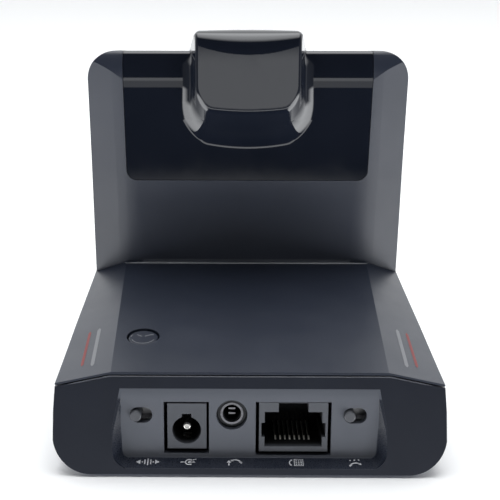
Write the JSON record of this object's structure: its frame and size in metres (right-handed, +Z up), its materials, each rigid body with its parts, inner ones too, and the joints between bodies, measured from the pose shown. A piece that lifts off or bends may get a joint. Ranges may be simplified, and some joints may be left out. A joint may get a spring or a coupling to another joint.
{
  "type": "headset charging base",
  "caption": "Desktop charging base for a cordless headset: wedge foot with a rear connector bay, pairing button, leaning upright with a glossy rear insert and headset cradle.",
  "frame": {"origin": "centre of the footprint on the table, under the rubber feet", "axes": "+Z up, -Y towards the user (front face with the cradle), +Y towards the connector bay at the rear, X across"},
  "size_m": [0.0816, 0.078, 0.0912],
  "materials": {
    "shell": "fine moulded texture, blue-black ABS",
    "gloss": "polished piano black",
    "panel": "smooth satin grey-black ABS",
    "connector": "satin moulded nylon",
    "gold_contact": "gold plated",
    "contact": "nickel plated",
    "ring_metal": "blackened metal",
    "steel": "tin plated sheet",
    "circuit_board": "green solder mask",
    "chip": "moulded epoxy",
    "capacitor": "sleeved can",
    "led": "clear epoxy",
    "clear_plastic": "smoked clear acrylic",
    "magnet": "nickel plated neodymium",
    "flex": "polyimide film",
    "rubber": "soft matt rubber",
    "screw_steel": "zinc plated",
    "label": "plain silver-grey film, blank",
    "button": "fine moulded texture",
    "knob": "satin acetal",
    "dial": "satin acetal"
  },
  "bodies": {
    "base": {"top_shell": "shell", "base_shell": "shell", "front_cover": "shell", "rear_bezel": "gloss", "front_panel": "gloss", "headset_cradle": "gloss", "connector_panel": "panel", "main_pcb": "circuit_board", "modular_jack_body": "connector", "modular_jack_contacts": "gold_contact", "dc_jack_body": "connector", "dc_jack_pin": "contact", "dc_jack_spring": "contact", "aux_jack_body": "connector", "aux_jack_ring": "ring_metal", "aux_jack_contacts": "contact", "bandwidth_switch_body": "steel", "answer_switch_body": "steel", "pairing_switch": "steel", "dial_switch_body": "connector", "listening_volume_body": "connector", "speaking_volume_body": "connector", "radio_module": "circuit_board", "radio_shield": "steel", "processor": "chip", "line_transformer": "chip", "capacitors": "capacitor", "charge_pcb": "circuit_board", "leds": "led", "light_pipes": "clear_plastic", "pin_block": "connector", "dock_magnet": "magnet", "antenna_board": "circuit_board", "flex_cable": "flex", "ballast_plate": "steel", "rubber_feet": "rubber", "base_screws": "screw_steel", "board_screws": "screw_steel", "cover_screws": "screw_steel", "rating_label": "label"},
    "pairing_button": {"pairing_button": "button"},
    "bandwidth_knob": {"bandwidth_knob": "knob"},
    "auto_answer_knob": {"auto_answer_knob": "knob"},
    "config_dial": {"config_dial": "dial"},
    "listening_volume_slider": {"listening_volume_slider": "knob"},
    "speaking_volume_slider": {"speaking_volume_slider": "knob"},
    "charge_pin_left": {"charge_pin_left": "gold_contact"},
    "charge_pin_right": {"charge_pin_right": "gold_contact"}
  },
  "joints": [
    {"name": "pairing_press", "type": "slide", "parent": "base", "child": "pairing_button", "axis": [0, -0.1984, -0.9801], "range_m": [0, 0.0006], "stiffness_N_per_m": 400, "springref_m": -0.0004},
    {"name": "bandwidth_slide", "type": "slide", "parent": "base", "child": "bandwidth_knob", "axis": [-1, 0, 0], "range_m": [0, 0.00221]},
    {"name": "auto_answer_slide", "type": "slide", "parent": "base", "child": "auto_answer_knob", "axis": [-1, 0, 0], "range_m": [0, 0.0024]},
    {"name": "config_dial_turn", "type": "hinge", "parent": "base", "child": "config_dial", "pos_m": [0, -0.00514, 0.0016], "axis": [0, 0, -1], "range_deg": [0, 270]},
    {"name": "listening_volume_slide", "type": "slide", "parent": "base", "child": "listening_volume_slider", "axis": [1, 0, 0], "range_m": [0, 0.006]},
    {"name": "speaking_volume_slide", "type": "slide", "parent": "base", "child": "speaking_volume_slider", "axis": [1, 0, 0], "range_m": [0, 0.006]},
    {"name": "charge_pin_left_press", "type": "slide", "parent": "base", "child": "charge_pin_left", "axis": [0, 0, -1], "range_m": [0, 0.001], "stiffness_N_per_m": 300, "springref_m": -0.0006},
    {"name": "charge_pin_right_press", "type": "slide", "parent": "base", "child": "charge_pin_right", "axis": [0, 0, -1], "range_m": [0, 0.001], "stiffness_N_per_m": 300, "springref_m": -0.0006}
  ]
}
